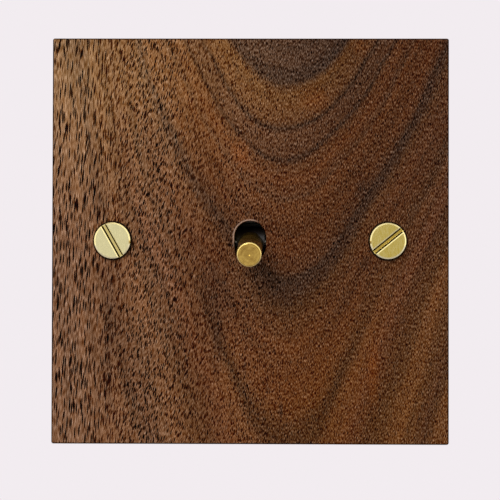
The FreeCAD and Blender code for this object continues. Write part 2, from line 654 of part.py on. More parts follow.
def terminal_block(x, z, y_front, y_back, wire_depth):
    """Solid brass block with a wire hole up and down and a tapped hole from the back."""
    block = box(
        x - BLOCK_WIDTH / 2, x + BLOCK_WIDTH / 2, y_front, y_back,
        z - BLOCK_HEIGHT / 2, z + BLOCK_HEIGHT / 2,
    )
    return block, [
        rod_upright(WIRE_HOLE_DIAMETER / 2, z - BLOCK_HEIGHT / 2, z + BLOCK_HEIGHT / 2, x, wire_depth),
        rod_into_wall(CLAMP_THREAD_DIAMETER / 2 + CLAMP_THREAD_CLEARANCE, wire_depth, y_back, x, z),
    ]


def make_upper_terminal():
    """Upper terminal, whose arm comes straight down behind the upper dome."""
    x, z = TERMINAL_PLACES[0]
    block, holes = terminal_block(x, z, ARM_DEPTH, BLOCK_BACK, WIRE_DEPTH)
    arm = box(-ARM_WIDTH / 2, ARM_WIDTH / 2, ARM_DEPTH, ARM_DEPTH + ARM_THICKNESS, ARM_END, z)
    return block.fuse(arm).removeSplitter().cut(holes)


def make_lower_terminal():
    """Lower terminal, whose arm goes up from the block and then across behind the lower dome."""
    x, z = TERMINAL_PLACES[1]
    block, holes = terminal_block(x, z, ARM_DEPTH, BLOCK_BACK, WIRE_DEPTH)
    arm_back = ARM_DEPTH + ARM_THICKNESS
    left = -CHAMBER_HALF_WIDTH + BLOCK_CLEARANCE
    riser = box(left, x + BLOCK_WIDTH / 2, ARM_DEPTH, arm_back, z, -ARM_END)
    arm_foot = max(-CONTACT_OFFSET - ARM_OVERHANG, -BLOCK_INNER_EDGE + BLOCK_CLEARANCE)
    arm = box(left, ARM_WIDTH / 2, ARM_DEPTH, arm_back, arm_foot, -ARM_END)
    return block.fuse([riser, arm]).removeSplitter().cut(holes)


def make_common_terminal():
    """Common terminal, whose strip runs up the chamber floor to the saddle that the see-saw rocks in."""
    x, z = TERMINAL_PLACES[2]
    block, holes = terminal_block(x, z, ARM_DEPTH, BLOCK_BACK, WIRE_DEPTH)
    half = SADDLE_HEIGHT / 2
    right = CHAMBER_HALF_WIDTH - BLOCK_CLEARANCE
    strip = box(x - BLOCK_WIDTH / 2, right, STRIP_DEPTH, CHAMBER_DEPTH, z, half)
    base = box(-CHEEK_OUTSIDE, right, STRIP_DEPTH, CHAMBER_DEPTH, -half, half)
    pillar_front = ROCKER_AXIS_DEPTH + SADDLE_LIP
    pillar_half = SADDLE_PILLAR_HEIGHT / 2
    pillar = box(
        -ROCKER_WIDTH / 2, ROCKER_WIDTH / 2, pillar_front, STRIP_DEPTH, -pillar_half, pillar_half
    )
    cheek_front = ROCKER_FACE_DEPTH - CHEEK_COVER
    cheeks = [
        box(inner, inner + CHEEK_THICKNESS, cheek_front, STRIP_DEPTH, -half, half)
        for inner in (-CHEEK_OUTSIDE, CHEEK_INSIDE)
    ]
    groove = rod_across(RIDGE_RADIUS + RIDGE_CLEARANCE, -ROCKER_WIDTH / 2, ROCKER_WIDTH / 2, ROCKER_AXIS)
    return block.fuse([strip, base, pillar] + cheeks).removeSplitter().cut(holes + [groove])


def make_fixed_contact(z):
    """Silver disc on a terminal's arm."""
    return rod_into_wall(FIXED_CONTACT_DIAMETER / 2, CONTACT_DEPTH, ARM_DEPTH, 0, z)


def make_earth_terminal():
    """Bevelled brass block held on the yoke by a spigot."""
    block, holes = terminal_block(EARTH_ACROSS, -EARTH_DROP, 0, EARTH_DEPTH, EARTH_WIRE_DEPTH)
    back_edges = [edge for edge in block.Edges if edge.BoundBox.YMin > EARTH_DEPTH / 2]
    block = block.makeChamfer(EARTH_CHAMFER, back_edges)
    spigot = rod_into_wall(EARTH_SPIGOT_DIAMETER / 2, -YOKE_THICKNESS, 0, EARTH_ACROSS, -EARTH_DROP)
    return block.fuse(spigot).removeSplitter().cut(holes)


def make_earth_screw():
    """The clamp screw of the earth terminal."""
    return clamp_screw(EARTH_ACROSS, -EARTH_DROP, EARTH_WIRE_DEPTH, EARTH_DEPTH, SMALL_SCREW_TURNS[-1])


PIECES = {
    "wooden_faceplate": make_faceplate(),
    "fixing_screw_left": make_fixing_screw(FIXING_PLACES[0], LEFT_SLOT_ANGLE),
    "fixing_screw_right": make_fixing_screw(FIXING_PLACES[1], RIGHT_SLOT_ANGLE),
    "steel_yoke": make_yoke(),
    "yoke_wood_screws": make_wood_screws(),
    "mechanism_cover": make_cover(),
    "mechanism_body": make_body(),
    "housing_screws": make_housing_screws(),
    "module_screws": make_module_screws(),
    "dolly_pivot_pin": make_pivot_pin(),
    "brass_dolly": make_dolly(),
    "dolly_carrier": make_carrier(),
    "spring_plunger": make_plunger(),
    "plunger_spring": make_plunger_spring(),
    "rocker_contact": make_rocker(),
    "moving_contact_tips": make_moving_tips(),
    "terminal_upper": make_upper_terminal(),
    "terminal_lower": make_lower_terminal(),
    "terminal_common": make_common_terminal(),
    "fixed_contact_upper": make_fixed_contact(CONTACT_OFFSET),
    "fixed_contact_lower": make_fixed_contact(-CONTACT_OFFSET),
    "terminal_screws": make_terminal_screws(),
    "earth_terminal": make_earth_terminal(),
    "earth_screw": make_earth_screw(),
}

os.makedirs("parts", exist_ok=True)
for name, shape in PIECES.items():
    shape.exportStep(f"parts/{name}.step")
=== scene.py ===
import math

import bpy
from mathutils import Matrix, Vector


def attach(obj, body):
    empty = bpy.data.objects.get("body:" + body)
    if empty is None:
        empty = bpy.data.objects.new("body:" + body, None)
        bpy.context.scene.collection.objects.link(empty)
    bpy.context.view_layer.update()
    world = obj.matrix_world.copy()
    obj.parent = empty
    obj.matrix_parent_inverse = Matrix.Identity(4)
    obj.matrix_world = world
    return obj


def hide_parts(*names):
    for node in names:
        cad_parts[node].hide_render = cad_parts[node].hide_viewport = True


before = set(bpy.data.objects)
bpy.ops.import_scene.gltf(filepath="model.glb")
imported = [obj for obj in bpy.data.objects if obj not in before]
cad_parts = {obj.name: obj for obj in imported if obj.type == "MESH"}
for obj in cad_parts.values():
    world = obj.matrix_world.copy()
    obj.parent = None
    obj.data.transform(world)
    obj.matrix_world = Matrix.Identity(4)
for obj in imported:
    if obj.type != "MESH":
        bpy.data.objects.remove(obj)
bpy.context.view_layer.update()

# Toggle light switch: a turned brass dolly in a square walnut plate, with its mechanism behind.
# Sizes are in millimetres, as in the part. X is to the right, Z is up and Y goes into the wall.
MM = 0.001
PLATE_WIDTH = 87.0
PLATE_HEIGHT = 89.0
PLATE_THICKNESS = 9.0
PLATE_EDGE_ROUND = 0.45
OPENING_WIDTH = 7.0
OPENING_HEIGHT = 8.9

# Where the rounded edge of the plate's front meets its sides
FRONT_END = PLATE_EDGE_ROUND - PLATE_THICKNESS

# Fixing screws; heights are counted from the wall towards the room
SCREW_CENTRES = 60.3
HEAD_DIAMETER = 7.9
HEAD_HEIGHT = 1.8
HEAD_CHAMFER = 0.3
HEAD_FACE = PLATE_THICKNESS + HEAD_HEIGHT
SLOT_MOUTH = 1.3
SLOT_FLOOR = 0.5
SLOT_DEPTH = 1.0
SLOT_LIP = 0.22
SLOT_LIP_DEPTH = 0.2
NECK_DIAMETER = 3.1
CORE_DIAMETER = 2.9
THREAD_DIAMETER = 3.5
THREAD_PITCH = 0.6
THREAD_START = -20.3
THREAD_END = -0.4
THREAD_FLATNESS = 0.85
SCREW_TIP = -21.0
TIP_DIAMETER = 2.1
TIP_CHAMFER = 0.4
LEFT_SLOT_ANGLE = 119.5
RIGHT_SLOT_ANGLE = 39.2

# Dolly; heights are counted from its pivot along its own axis
PIVOT = (0.0, -1.6, 0.0)
DOLLY_TILT = 10.0
DOLLY_DIAMETER = 5.4
DOLLY_REACH = 19.0
DOLLY_FOOT = 3.6
DOLLY_BORE_DIAMETER = 3.24
DOLLY_BORE_END = 11.2
DOLLY_CHAMFER = 0.3

# Turned face of the dolly; real rings are finer, and are drawn as coarse as they need to show
RING_SPACING = 0.2
RING_DEPTH = 0.012
PIP_DIAMETER = 0.6
PIP_POINT_DIAMETER = 0.03
PIP_DEPTH = 0.15

# Turned pieces: edges sharper than one angle are softened, and faces flatter than the other shade as one
SIDES = 96
THREAD_STEPS = 32
EDGE_SOFTNESS = 0.14
SOFTENED_ANGLE = math.radians(35)
SMOOTH_ANGLE = math.radians(12)
FACING_ROOM = Matrix.Rotation(math.radians(90), 4, "X")

# Walnut rings: they curve round a heart that stood in front of the plate, to the right of its middle
HEART_ACROSS = 8.3
HEART_AHEAD = 19.5
RING_WANDER = 3.0
WANDER_LENGTH = 22.0

# The rings open upwards: how far for each millimetre of height, high up and low down, and how far below
# the middle and over what height one becomes the other
RISE_HIGH = 0.42
RISE_LOW = 0.20
RISE_TURN = 12.0
RISE_BEND = 14.0

# At the far left they open less: by this share, which grows to the whole between two places across,
# counted from the heart
LEFT_RISE = 0.35
LEFT_RISE_PLACES = (-46.0, -28.0)

# Rings from the heart outwards: distance across them, counted from one near the middle of the plate, and
# the colour of the wood there
RING_COLOURS = [
    (-24.0, "#4E3628"),
    (-19.0, "#4B3528"),
    (-17.5, "#3A281E"),
    (-16.6, "#684428"),
    (-14.3, "#66432A"),
    (-13.7, "#5C3C26"),
    (-13.4, "#362317"),
    (-12.9, "#583A27"),
    (-11.0, "#5E3D28"),
    (-10.5, "#382418"),
    (-9.9, "#623E26"),
    (-8.5, "#683F25"),
    (-6.8, "#543622"),
    (-6.2, "#633D24"),
    (-2.5, "#5F3A22"),
    (-1.0, "#553622"),
    (-0.2, "#432D1F"),
    (0.7, "#452E1F"),
    (1.6, "#573923"),
    (3.5, "#613E27"),
    (6.0, "#5C3A24"),
    (8.5, "#543722"),
    (10.6, "#67442C"),
    (12.4, "#62402B"),
    (14.8, "#583A25"),
    (17.2, "#5E4029"),
    (19.0, "#6E4B31"),
    (21.5, "#60422B"),
    (24.0, "#533826"),
    (26.5, "#684830"),
    (33.0, "#6E4D35"),
    (46.0, "#705038"),
]

# Clouds and streaks in the figure: size across the rings, into the wood and up it
CLOUD_SIZE = (4.5, 9.0, 20.0)
STREAK_SIZE = (1.5, 8.0, 38.0)

# Smoky or reddish marks: place across and up, half width, half height, and strength
SMOKY_MARKS = [
    (-7.3, -20.5, 3.0, 14.0, 0.5),
    (-31.0, -24.0, 2.0, 20.0, 0.40),
    (-33.0, 9.0, 0.8, 2.2, 0.55),
    (6.8, -37.0, 0.7, 3.0, 0.60),
    (-17.0, 17.0, 3.5, 6.0, 0.18),
    (-20.0, 21.0, 9.0, 11.0, 0.18),
    (-8.0, -13.0, 8.0, 16.0, 0.45),
    (2.0, 4.0, 36.0, 36.0, 0.20),
    (-1.1, -27.5, 0.7, 3.5, 0.40),
    (3.8, -31.0, 0.6, 4.0, 0.30),
    (25.0, -4.8, 2.6, 2.6, 0.40),
    (24.5, 11.5, 2.6, 5.0, 0.40),
]
REDDISH_MARKS = [
    (-2.0, 19.0, 3.0, 5.0, 0.45),
    (14.0, 31.0, 5.0, 4.0, 0.35),
    (24.0, 43.0, 3.0, 3.0, 0.35),
    (27.0, -28.0, 2.0, 12.0, 0.30),
]

# Tone of the wood: (height, value) steps up its left and up its right, and the places across between which
# the left becomes the right. The paler upper left is mostly the wood's own tone, with some painted light
# in it
LIGHTNESS = ([(-7.0, 1.36), (35.0, 2.04)], [(-25.0, 0.97), (20.0, 0.73)], (-24.0, 22.0))
RICHNESS = ([(0.0, 1.0)], [(-35.0, 1.15), (15.0, 1.08)], (-40.0, 15.0))
HUE = ([(0.0, 0.499), (36.0, 0.511)], [(0.0, 0.4968)], (-30.0, 38.0))

# Grain from left to right: its lean in degrees, the size of the wood round one pore and of one fibre
# (across, into the wood and along it), and where across the plate it begins and is alone. Real fibres
# and the finest pores are thinner, and are drawn as coarse as they need to show.
GRAIN = [
    (4.0, (0.36, 0.36, 3.4), (0.17, 0.17, 1.6), -100.0, -80.0),
    (14.0, (0.32, 0.32, 1.5), (0.17, 0.17, 1.0), -36.0, -24.0),
    (8.0, (0.32, 0.32, 1.1), (0.15, 0.15, 0.6), -18.0, -2.0),
]

# A pore from its middle outwards, in shares of the wood round it: 1 inside, and below 0 on its pale lip
PORE_SHAPE = [(0.28, 1.0), (0.46, -0.18), (0.7, 0.0)]

# From left to right: how far the rings are softened, how deep the pores are and how clear the fibres
RING_SOFTNESS = [(-30.0, 0.5), (10.0, 0.05)]
PORE_DEPTH = [(-30.0, 1.0), (-8.0, 0.65), (10.0, 0.25)]
FIBRE_CLEARNESS = [(-30.0, 0.75), (5.0, 1.0)]

# How much lighter a pale fibre and darker a pore is to the eye
FIBRE_LIGHT = 0.23
PORE_DARK = 0.50

# Off the plate's front the grain runs upright, this many times as long and this much softer
SIDE_LENGTH = 6.0
SIDE_SOFTNESS = 0.6

# Painted shade round the screw heads and along the front's rounded edges, and a painted highlight by the
# opening:
# where each is in full and where it has ended, counted from the screw head outwards, from the plate's edge
# inwards and from the opening outwards
HEAD_LINE = (0.25, 0.55)
EDGE_LINE = (0.2, 0.32)
OPENING_LINE = (0.2, 0.4)

# Polished brass; real polishing lines are finer, and are drawn as coarse as they need to show
BRASS = "#F3EABC"
# Painted shade on the walls of the driver slots
SLOT_PAINTED_SHADE = "#1A1206"
POLISH_LINES_PER_MM = 7.0
POLISH_LINE_LENGTH = 1.25
POLISH_LEAN = 34.38

# Smoky patches on the turned brass, and mottling and painted occlusion shade on the other metals
SMOKE_SIZE = 0.909
MOTTLE_SIZE = 0.6667
OCCLUSION_SHADE_REACH = 0.7

# Moulded grain of the nylon; the real one is finer, and is drawn as coarse as it needs to show
NYLON_GRAIN = 0.2

# Relief of each finish
WALNUT_RELIEF = 0.12
POLISHED_RELIEF = 0.003
TURNED_RELIEF = 0.01
PLATED_RELIEF = 0.004
NYLON_RELIEF = 0.012

# Studio: the floor fades into the backdrop between two distances, and the board's two colours meet between
# two places across
BACKDROP = "#F2ECF0"
SOFT_LIGHT = 0.42
FLOOR_SIZE = 6000.0
FLOOR_DROP = 110.0
FLOOR_FADE = (120.0, 300.0)
KEY_PLACE = (-420.0, -850.0, 480.0)
KEY_POWER = 6.8
KEY_SIZE = 500.0
BOARD_SIZE = 900.0
BOARD_AHEAD = 620.0
BOARD_SHADING = (-30.0, 40.0)
HOOP_RADIUS = 500.0
HOOP_DEPTH = 750.0
HOOP_AHEAD = 125.0
HOOP_GLOW = 1.4
CAMERA_PLACE = (9.13, -500.0, -12.74)
CAMERA_PITCH = 1.254
CAMERA_YAW = 1.068
CAMERA_ROLL = -0.140
CAMERA_LENS = 161.4
CAMERA_SENSOR = 36.0

# Kinds of shader node
MATH = "ShaderNodeMath"
VECTOR = "ShaderNodeVectorMath"
TURN = "ShaderNodeVectorRotate"
NOISE = "ShaderNodeTexNoise"
CELLS = "ShaderNodeTexVoronoi"
RANGE = "ShaderNodeMapRange"
RAMP = "ShaderNodeValToRGB"
MIX = "ShaderNodeMix"
GAMMA = "ShaderNodeGamma"
MAPPING = "ShaderNodeMapping"
JOIN = "ShaderNodeCombineXYZ"
SPLIT = "ShaderNodeSeparateXYZ"
PLACE = "ShaderNodeTexCoord"
GLOW = "ShaderNodeEmission"


def linear(hex_colour):
    """The linear colour of an sRGB hex value."""
    channels = [int(hex_colour[i:i + 2], 16) / 255 for i in (1, 3, 5)]
    curve = [c / 12.92 if c <= 0.04045 else ((c + 0.055) / 1.055) ** 2.4 for c in channels]
    return (*curve, 1.0)


def add_node(tree, kind, inputs=None, output=0, stops=None, **settings):
    """Adds a node with its settings, values, links and colour stops, and gives one of its outputs."""
    node = tree.nodes.new(kind)
    for name, value in settings.items():
        setattr(node, name, value)
    for socket, value in (inputs or {}).items():
        if isinstance(value, bpy.types.NodeSocket):
            tree.links.new(value, node.inputs[socket])
        else:
            node.inputs[socket].default_value = value
    if stops:
        ramp = node.color_ramp.elements
        while len(ramp) < len(stops):
            ramp.new(1.0)
        for element, (position, colour) in zip(ramp, stops):
            element.position = position
            element.color = linear(colour)
    return node.outputs[output]


def new_material(name, **values):
    """A material with one Principled shader, whose named sockets take these values."""
    material = bpy.data.materials.new(name)
    material.use_nodes = True
    tree = material.node_tree
    shader = tree.nodes["Principled BSDF"]
    for socket, value in values.items():
        shader.inputs[socket.replace("_", " ")].default_value = value
    return material, tree, shader


def millimetres(tree):
    """The place on the piece, counted in millimetres."""
    place = add_node(tree, PLACE, output="Object")
    return add_node(tree, VECTOR, {0: place, 1: (1 / MM, 1 / MM, 1 / MM)}, operation="MULTIPLY")


def graded(tree, along, steps):
    """A value that runs straight from each (place, value) step to the next."""
    value = steps[0][1]
    for (start, first), (end, last) in zip(steps, steps[1:]):
        change = add_node(tree, RANGE, {0: along, 1: start, 2: end, 3: 0.0, 4: last - first})
        value = add_node(tree, MATH, {0: change, 1: value}, operation="ADD")
    return value


def lay_over(tree, colour, layers):
    """Lays (share, hex colour) layers over a colour, one after another."""
    for share, layer in layers:
        mixed = {0: share, 6: colour, 7: linear(layer)}
        colour = add_node(tree, MIX, mixed, output=2, data_type="RGBA")
    return colour


def lighten(tree, colour, light):
    """Lightens red, green and blue by the same step, as the eye counts it."""
    seen = add_node(tree, GAMMA, {0: colour, 1: 1 / 2.2})
    seen = add_node(tree, VECTOR, {0: seen, 1: light}, operation="ADD")
    seen = add_node(tree, VECTOR, {0: seen, 1: (0, 0, 0)}, operation="MAXIMUM")
    return add_node(tree, GAMMA, {0: seen, 1: 2.2})


def set_bump(tree, shader, height, relief, strength=1.0):
    """Gives a shader the relief of a height that runs from 0 to 1, this many millimetres deep."""
    values = {"Strength": strength, "Distance": relief * MM, "Height": height}
    tree.links.new(add_node(tree, "ShaderNodeBump", values), shader.inputs["Normal"])


def from_screw(tree, x, z):
    """Distance from the axis of the nearer fixing screw."""
    across = add_node(tree, MATH, {0: x}, operation="ABSOLUTE")
    across = add_node(tree, MATH, {0: across, 1: -SCREW_CENTRES / 2}, operation="ADD")
    off = add_node(tree, JOIN, {0: across, 1: z})
    return add_node(tree, VECTOR, {0: off}, output="Value", operation="LENGTH")


def off_front(tree, y):
    """0 on the plate's front and 1 on its sides, its back and the walls of its holes."""
    return add_node(tree, RANGE, {0: y, 1: FRONT_END - 0.1, 2: FRONT_END})


def marks(tree, place, spots):
    """How strongly any of these soft-edged marks shows at a place."""
    total = 0.0
    for across, up, half_width, half_height, strength in spots:
        values = {
            "Vector": place,
            "Location": (-across / half_width, 0, -up / half_height),
            "Scale": (1 / half_width, 0, 1 / half_height),
        }
        near = add_node(tree, MAPPING, values)
        near = add_node(tree, VECTOR, {0: near}, output="Value", operation="LENGTH")
        shown = {0: near, 1: 1.0, 2: 0.0, 3: 0.0, 4: strength}
        shown = add_node(tree, RANGE, shown, interpolation_type="SMOOTHSTEP")
        total = add_node(tree, MATH, {0: total, 1: shown}, operation="MAXIMUM")
    return total


def ring_distance(tree, place, x, y, z):
    """Distance across the rings, which open upwards and wander a little."""
    across = add_node(tree, MATH, {0: x, 1: -HEART_ACROSS}, operation="ADD")
    behind = add_node(tree, MATH, {0: y, 1: HEART_AHEAD + PLATE_THICKNESS}, operation="ADD")
    flat = add_node(tree, JOIN, {0: across, 1: behind})
    radius = add_node(tree, VECTOR, {0: flat}, output="Value", operation="LENGTH")

    height = add_node(tree, MATH, {0: z, 1: RISE_TURN}, operation="ADD")
    bend = add_node(tree, JOIN, {0: height, 1: RISE_BEND})
    bend = add_node(tree, VECTOR, {0: bend}, output="Value", operation="LENGTH")
    steep = add_node(tree, MATH, {0: height, 1: bend}, operation="ADD")
    steep = add_node(tree, MATH, {0: steep, 1: (RISE_HIGH - RISE_LOW) / 2}, operation="MULTIPLY")
    rise = add_node(tree, MATH, {0: z, 1: RISE_LOW, 2: steep}, operation="MULTIPLY_ADD")
    far_left, nearer = LEFT_RISE_PLACES
    upright = {0: across, 1: far_left, 2: nearer, 3: LEFT_RISE, 4: 1.0}
    upright = add_node(tree, RANGE, upright, interpolation_type="SMOOTHSTEP")
    rise = add_node(tree, MATH, {0: rise, 1: upright}, operation="MULTIPLY")

    wander = add_node(tree, NOISE, {"Vector": place, "Scale": 1 / WANDER_LENGTH, "Detail": 3.0})
    wander = {0: wander, 1: RING_WANDER, 2: -RING_WANDER / 2 - HEART_AHEAD}
    wander = add_node(tree, MATH, wander, operation="MULTIPLY_ADD")
    ring = add_node(tree, MATH, {0: radius, 1: rise}, operation="SUBTRACT")
    return add_node(tree, MATH, {0: ring, 1: wander}, operation="ADD")


def figure(tree, place, along, ring, x):
    """Colour of the rings, softer at the left, with grey and orange clouds along them and marks on top."""
    first, last = RING_COLOURS[0][0], RING_COLOURS[-1][0]
    share = add_node(tree, RANGE, {0: ring, 1: first, 2: last})
    stops = [((distance - first) / (last - first), colour) for distance, colour in RING_COLOURS]
    colour = add_node(tree, RAMP, {0: share}, stops=stops)
    cloud = add_node(tree, VECTOR, {0: along, 1: CLOUD_SIZE}, operation="DIVIDE")
    cloud = add_node(tree, NOISE, {"Vector": cloud, "Scale": 1.0, "Detail": 2.0})
    layers = [
        (graded(tree, x, RING_SOFTNESS), "#63432C"),
        (add_node(tree, RANGE, {0: cloud, 1: 0.47, 2: 0.3, 4: 0.10}), "#453421"),
        (add_node(tree, RANGE, {0: cloud, 1: 0.53, 2: 0.72, 4: 0.05}), "#7E4C28"),
        (marks(tree, place, REDDISH_MARKS), "#7A4424"),
        (marks(tree, place, SMOKY_MARKS), "#2A1E18"),
    ]
    return lay_over(tree, colour, layers)


def over_plate(tree, x, z, steps):
    """A value that follows one list of steps up the plate's left and another up its right."""
    left, right, (start, end) = steps
    left, right = graded(tree, z, left), graded(tree, z, right)
    return add_node(tree, RANGE, {0: x, 1: start, 2: end, 3: left, 4: right})


def tone(tree, colour, along, x, z):
    """The figure in fine streaks along the rings, palest at the upper left and darkest at the right:
    mostly the wood's own tone, with some painted light from the upper left.
    """
    streak = add_node(tree, VECTOR, {0: along, 1: STREAK_SIZE}, operation="DIVIDE")
    streak = add_node(tree, NOISE, {"Vector": streak, "Scale": 1.0, "Detail": 3.0, "Roughness": 0.6})
    streak = add_node(tree, RANGE, {0: streak, 1: 0.3, 2: 0.7, 3: 0.76, 4: 1.24})
    light = over_plate(tree, x, z, LIGHTNESS)
    light = add_node(tree, MATH, {0: light, 1: streak}, operation="MULTIPLY")
    rich = over_plate(tree, x, z, RICHNESS)
    hue = over_plate(tree, x, z, HUE)
    toned = {"Color": colour, "Hue": hue, "Saturation": rich, "Value": light}
    return add_node(tree, "ShaderNodeHueSaturation", toned)


def grain(tree, place, x, sides):
    """How pale the fibres are, from 0 to 1, and the pores: 1 inside one and below 0 on its lip."""
    shorter = add_node(tree, RANGE, {0: sides, 3: 1.0, 4: 1 / SIDE_LENGTH})
    shorter = add_node(tree, JOIN, {0: 1.0, 1: 1.0, 2: shorter})
    fibre, pore = 0.5, 0.0
    for lean, pore_size, fibre_size, start, end in GRAIN:
        turn = add_node(tree, RANGE, {0: sides, 3: math.radians(-lean), 4: 0.0})
        along = add_node(tree, TURN, {"Vector": place, "Angle": turn}, rotation_type="Y_AXIS")
        along = add_node(tree, VECTOR, {0: along, 1: shorter}, operation="MULTIPLY")
        share = add_node(tree, RANGE, {0: x, 1: start, 2: end})

        hollows = add_node(tree, VECTOR, {0: along, 1: pore_size}, operation="DIVIDE")
        hollows = add_node(tree, CELLS, {"Vector": hollows, "Scale": 1.0}, feature="F1")
        hollows = graded(tree, hollows, PORE_SHAPE)
        pore = add_node(tree, MIX, {0: share, 2: pore, 3: hollows})

        threads = add_node(tree, VECTOR, {0: along, 1: fibre_size}, operation="DIVIDE")
        threads = add_node(tree, NOISE, {"Vector": threads, "Scale": 1.0, "Detail": 0.0})
        threads = add_node(tree, RANGE, {0: threads, 1: 0.2, 2: 0.8})
        fibre = add_node(tree, MIX, {0: share, 2: fibre, 3: threads})
    deep = graded(tree, x, PORE_DEPTH)
    pore = add_node(tree, MATH, {0: pore, 1: deep}, operation="MULTIPLY")
    return fibre, pore


def head_shade(tree, x, z, sides):
    """Painted shade: the dark line round each screw head where it stands on the wood."""
    full, gone = (HEAD_DIAMETER / 2 + line for line in HEAD_LINE)
    front = add_node(tree, RANGE, {0: sides, 3: 0.95, 4: 0.0})
    shade = {0: from_screw(tree, x, z), 1: gone, 2: full, 3: 0.0, 4: front}
    return add_node(tree, RANGE, shade, interpolation_type="SMOOTHSTEP")


def edge_shade(tree, x, y, z):
    """Painted shade: a dark line along the rounded edges of the plate's front."""
    gaps = []
    for along, size in ((x, PLATE_WIDTH), (z, PLATE_HEIGHT)):
        off = add_node(tree, MATH, {0: along}, operation="ABSOLUTE")
        gaps.append(add_node(tree, MATH, {0: size / 2, 1: off}, operation="SUBTRACT"))
    inside = add_node(tree, MATH, {0: gaps[0], 1: gaps[1]}, operation="MINIMUM")
    full, gone = EDGE_LINE
    front = add_node(tree, RANGE, {0: y, 1: FRONT_END + 0.1, 2: FRONT_END, 4: 0.9})
    return add_node(tree, RANGE, {0: inside, 1: gone, 2: full, 4: front})


def opening_highlight(tree, x, y, z):
    """Painted highlight: the pale line along the upper left edge of the dolly's opening, on the side
    facing the light.
    """
    radius = OPENING_WIDTH / 2
    up = add_node(tree, MATH, {0: z}, operation="ABSOLUTE")
    up = add_node(tree, MATH, {0: up, 1: OPENING_HEIGHT / 2 - radius}, operation="SUBTRACT")
    up = add_node(tree, MATH, {0: up, 1: 0.0}, operation="MAXIMUM")
    off = add_node(tree, JOIN, {0: x, 1: up})
    off = add_node(tree, VECTOR, {0: off}, output="Value", operation="LENGTH")
    slope = add_node(tree, MATH, {0: x, 1: z}, operation="SUBTRACT")
    shown = add_node(tree, RANGE, {0: slope, 1: -2.0, 2: -4.0, 4: 0.7})
    shown = add_node(tree, RANGE, {0: y, 1: 0.25 - PLATE_THICKNESS, 2: 0.1 - PLATE_THICKNESS, 4: shown})
    full, gone = (radius + line for line in OPENING_LINE)
    return add_node(tree, RANGE, {0: off, 1: gone, 2: full, 4: shown})


def walnut():
    """Oiled black walnut, planed flat: arched rings, smoky streaks and open pores like pen strokes."""
    finish = {"Roughness": 0.55, "Specular_IOR_Level": 0.03}
    material, tree, shader = new_material("walnut_oiled_open_grain", **finish)
    place = millimetres(tree)
    x, y, z = add_node(tree, SPLIT, {0: place}).node.outputs
    ring = ring_distance(tree, place, x, y, z)
    along = add_node(tree, JOIN, {0: ring, 1: y, 2: z})
    colour = figure(tree, place, along, ring, x)
    colour = tone(tree, colour, along, x, z)

    sides = off_front(tree, y)
    fibre, pore = grain(tree, place, x, sides)
    clear = graded(tree, x, FIBRE_CLEARNESS)
    light = add_node(tree, RANGE, {0: fibre, 3: -FIBRE_LIGHT, 4: FIBRE_LIGHT})
    light = add_node(tree, MATH, {0: light, 1: clear}, operation="MULTIPLY")
    light = add_node(tree, MATH, {0: pore, 1: -PORE_DARK, 2: light}, operation="MULTIPLY_ADD")
    calm = add_node(tree, RANGE, {0: sides, 3: 1.0, 4: SIDE_SOFTNESS})
    light = add_node(tree, MATH, {0: light, 1: calm}, operation="MULTIPLY")
    colour = lighten(tree, colour, light)
    # Painted shade round the screw heads and along the front's rounded edges, and a painted highlight by
    # the opening
    layers = [
        (head_shade(tree, x, z, sides), "#140A05"),
        (edge_shade(tree, x, y, z), "#160804"),
        (opening_highlight(tree, x, y, z), "#B99A86"),
    ]
    tree.links.new(lay_over(tree, colour, layers), shader.inputs["Base Color"])
    sunk = add_node(tree, MATH, {0: fibre, 1: pore}, operation="SUBTRACT")
    set_bump(tree, shader, sunk, WALNUT_RELIEF, calm)
    return material


def polished_brass():
    """Pale polished brass: a clean soft mirror, with painted shade in the driver slots."""
    material, tree, shader = new_material("brass_polished_pale", Metallic=1.0)
    place = millimetres(tree)
    x, y, z = add_node(tree, SPLIT, {0: place}).node.outputs
    edge = HEAD_DIAMETER / 2
    inside = add_node(tree, RANGE, {0: from_screw(tree, x, z), 1: edge - 0.1, 2: edge - 0.15})
    depth = add_node(tree, RANGE, {0: y, 1: -HEAD_FACE, 2: SLOT_DEPTH - HEAD_FACE})
    # Painted shade in the driver slots: dark on their walls, and darker and yellower than the face on
    # their floor
    stops = [(0.2, BRASS), (0.24, SLOT_PAINTED_SHADE), (0.92, SLOT_PAINTED_SHADE), (0.97, "#E8D490")]
    slot = add_node(tree, RAMP, {0: depth}, stops=stops)
    colour = {0: inside, 6: linear(BRASS), 7: slot}
    colour = add_node(tree, MIX, colour, output=2, data_type="RGBA")
    tree.links.new(colour, shader.inputs["Base Color"])
    tree.links.new(colour, shader.inputs["Specular Tint"])
    scale = (POLISH_LINES_PER_MM, POLISH_LINES_PER_MM, 1 / POLISH_LINE_LENGTH)
    lines = {"Vector": place, "Scale": scale, "Rotation": (0, math.radians(POLISH_LEAN), 0)}
    lines = add_node(tree, MAPPING, lines)
    lines = add_node(tree, NOISE, {"Vector": lines, "Scale": 1.0, "Detail": 2.0})
    rough = add_node(tree, RANGE, {0: lines, 1: 0.3, 2: 0.7, 3: 0.12, 4: 0.24})
    tree.links.new(rough, shader.inputs["Roughness"])
    flat = add_node(tree, RANGE, {0: depth, 1: 0.1, 2: 0.05})
    set_bump(tree, shader, lines, POLISHED_RELIEF, flat)
    return material


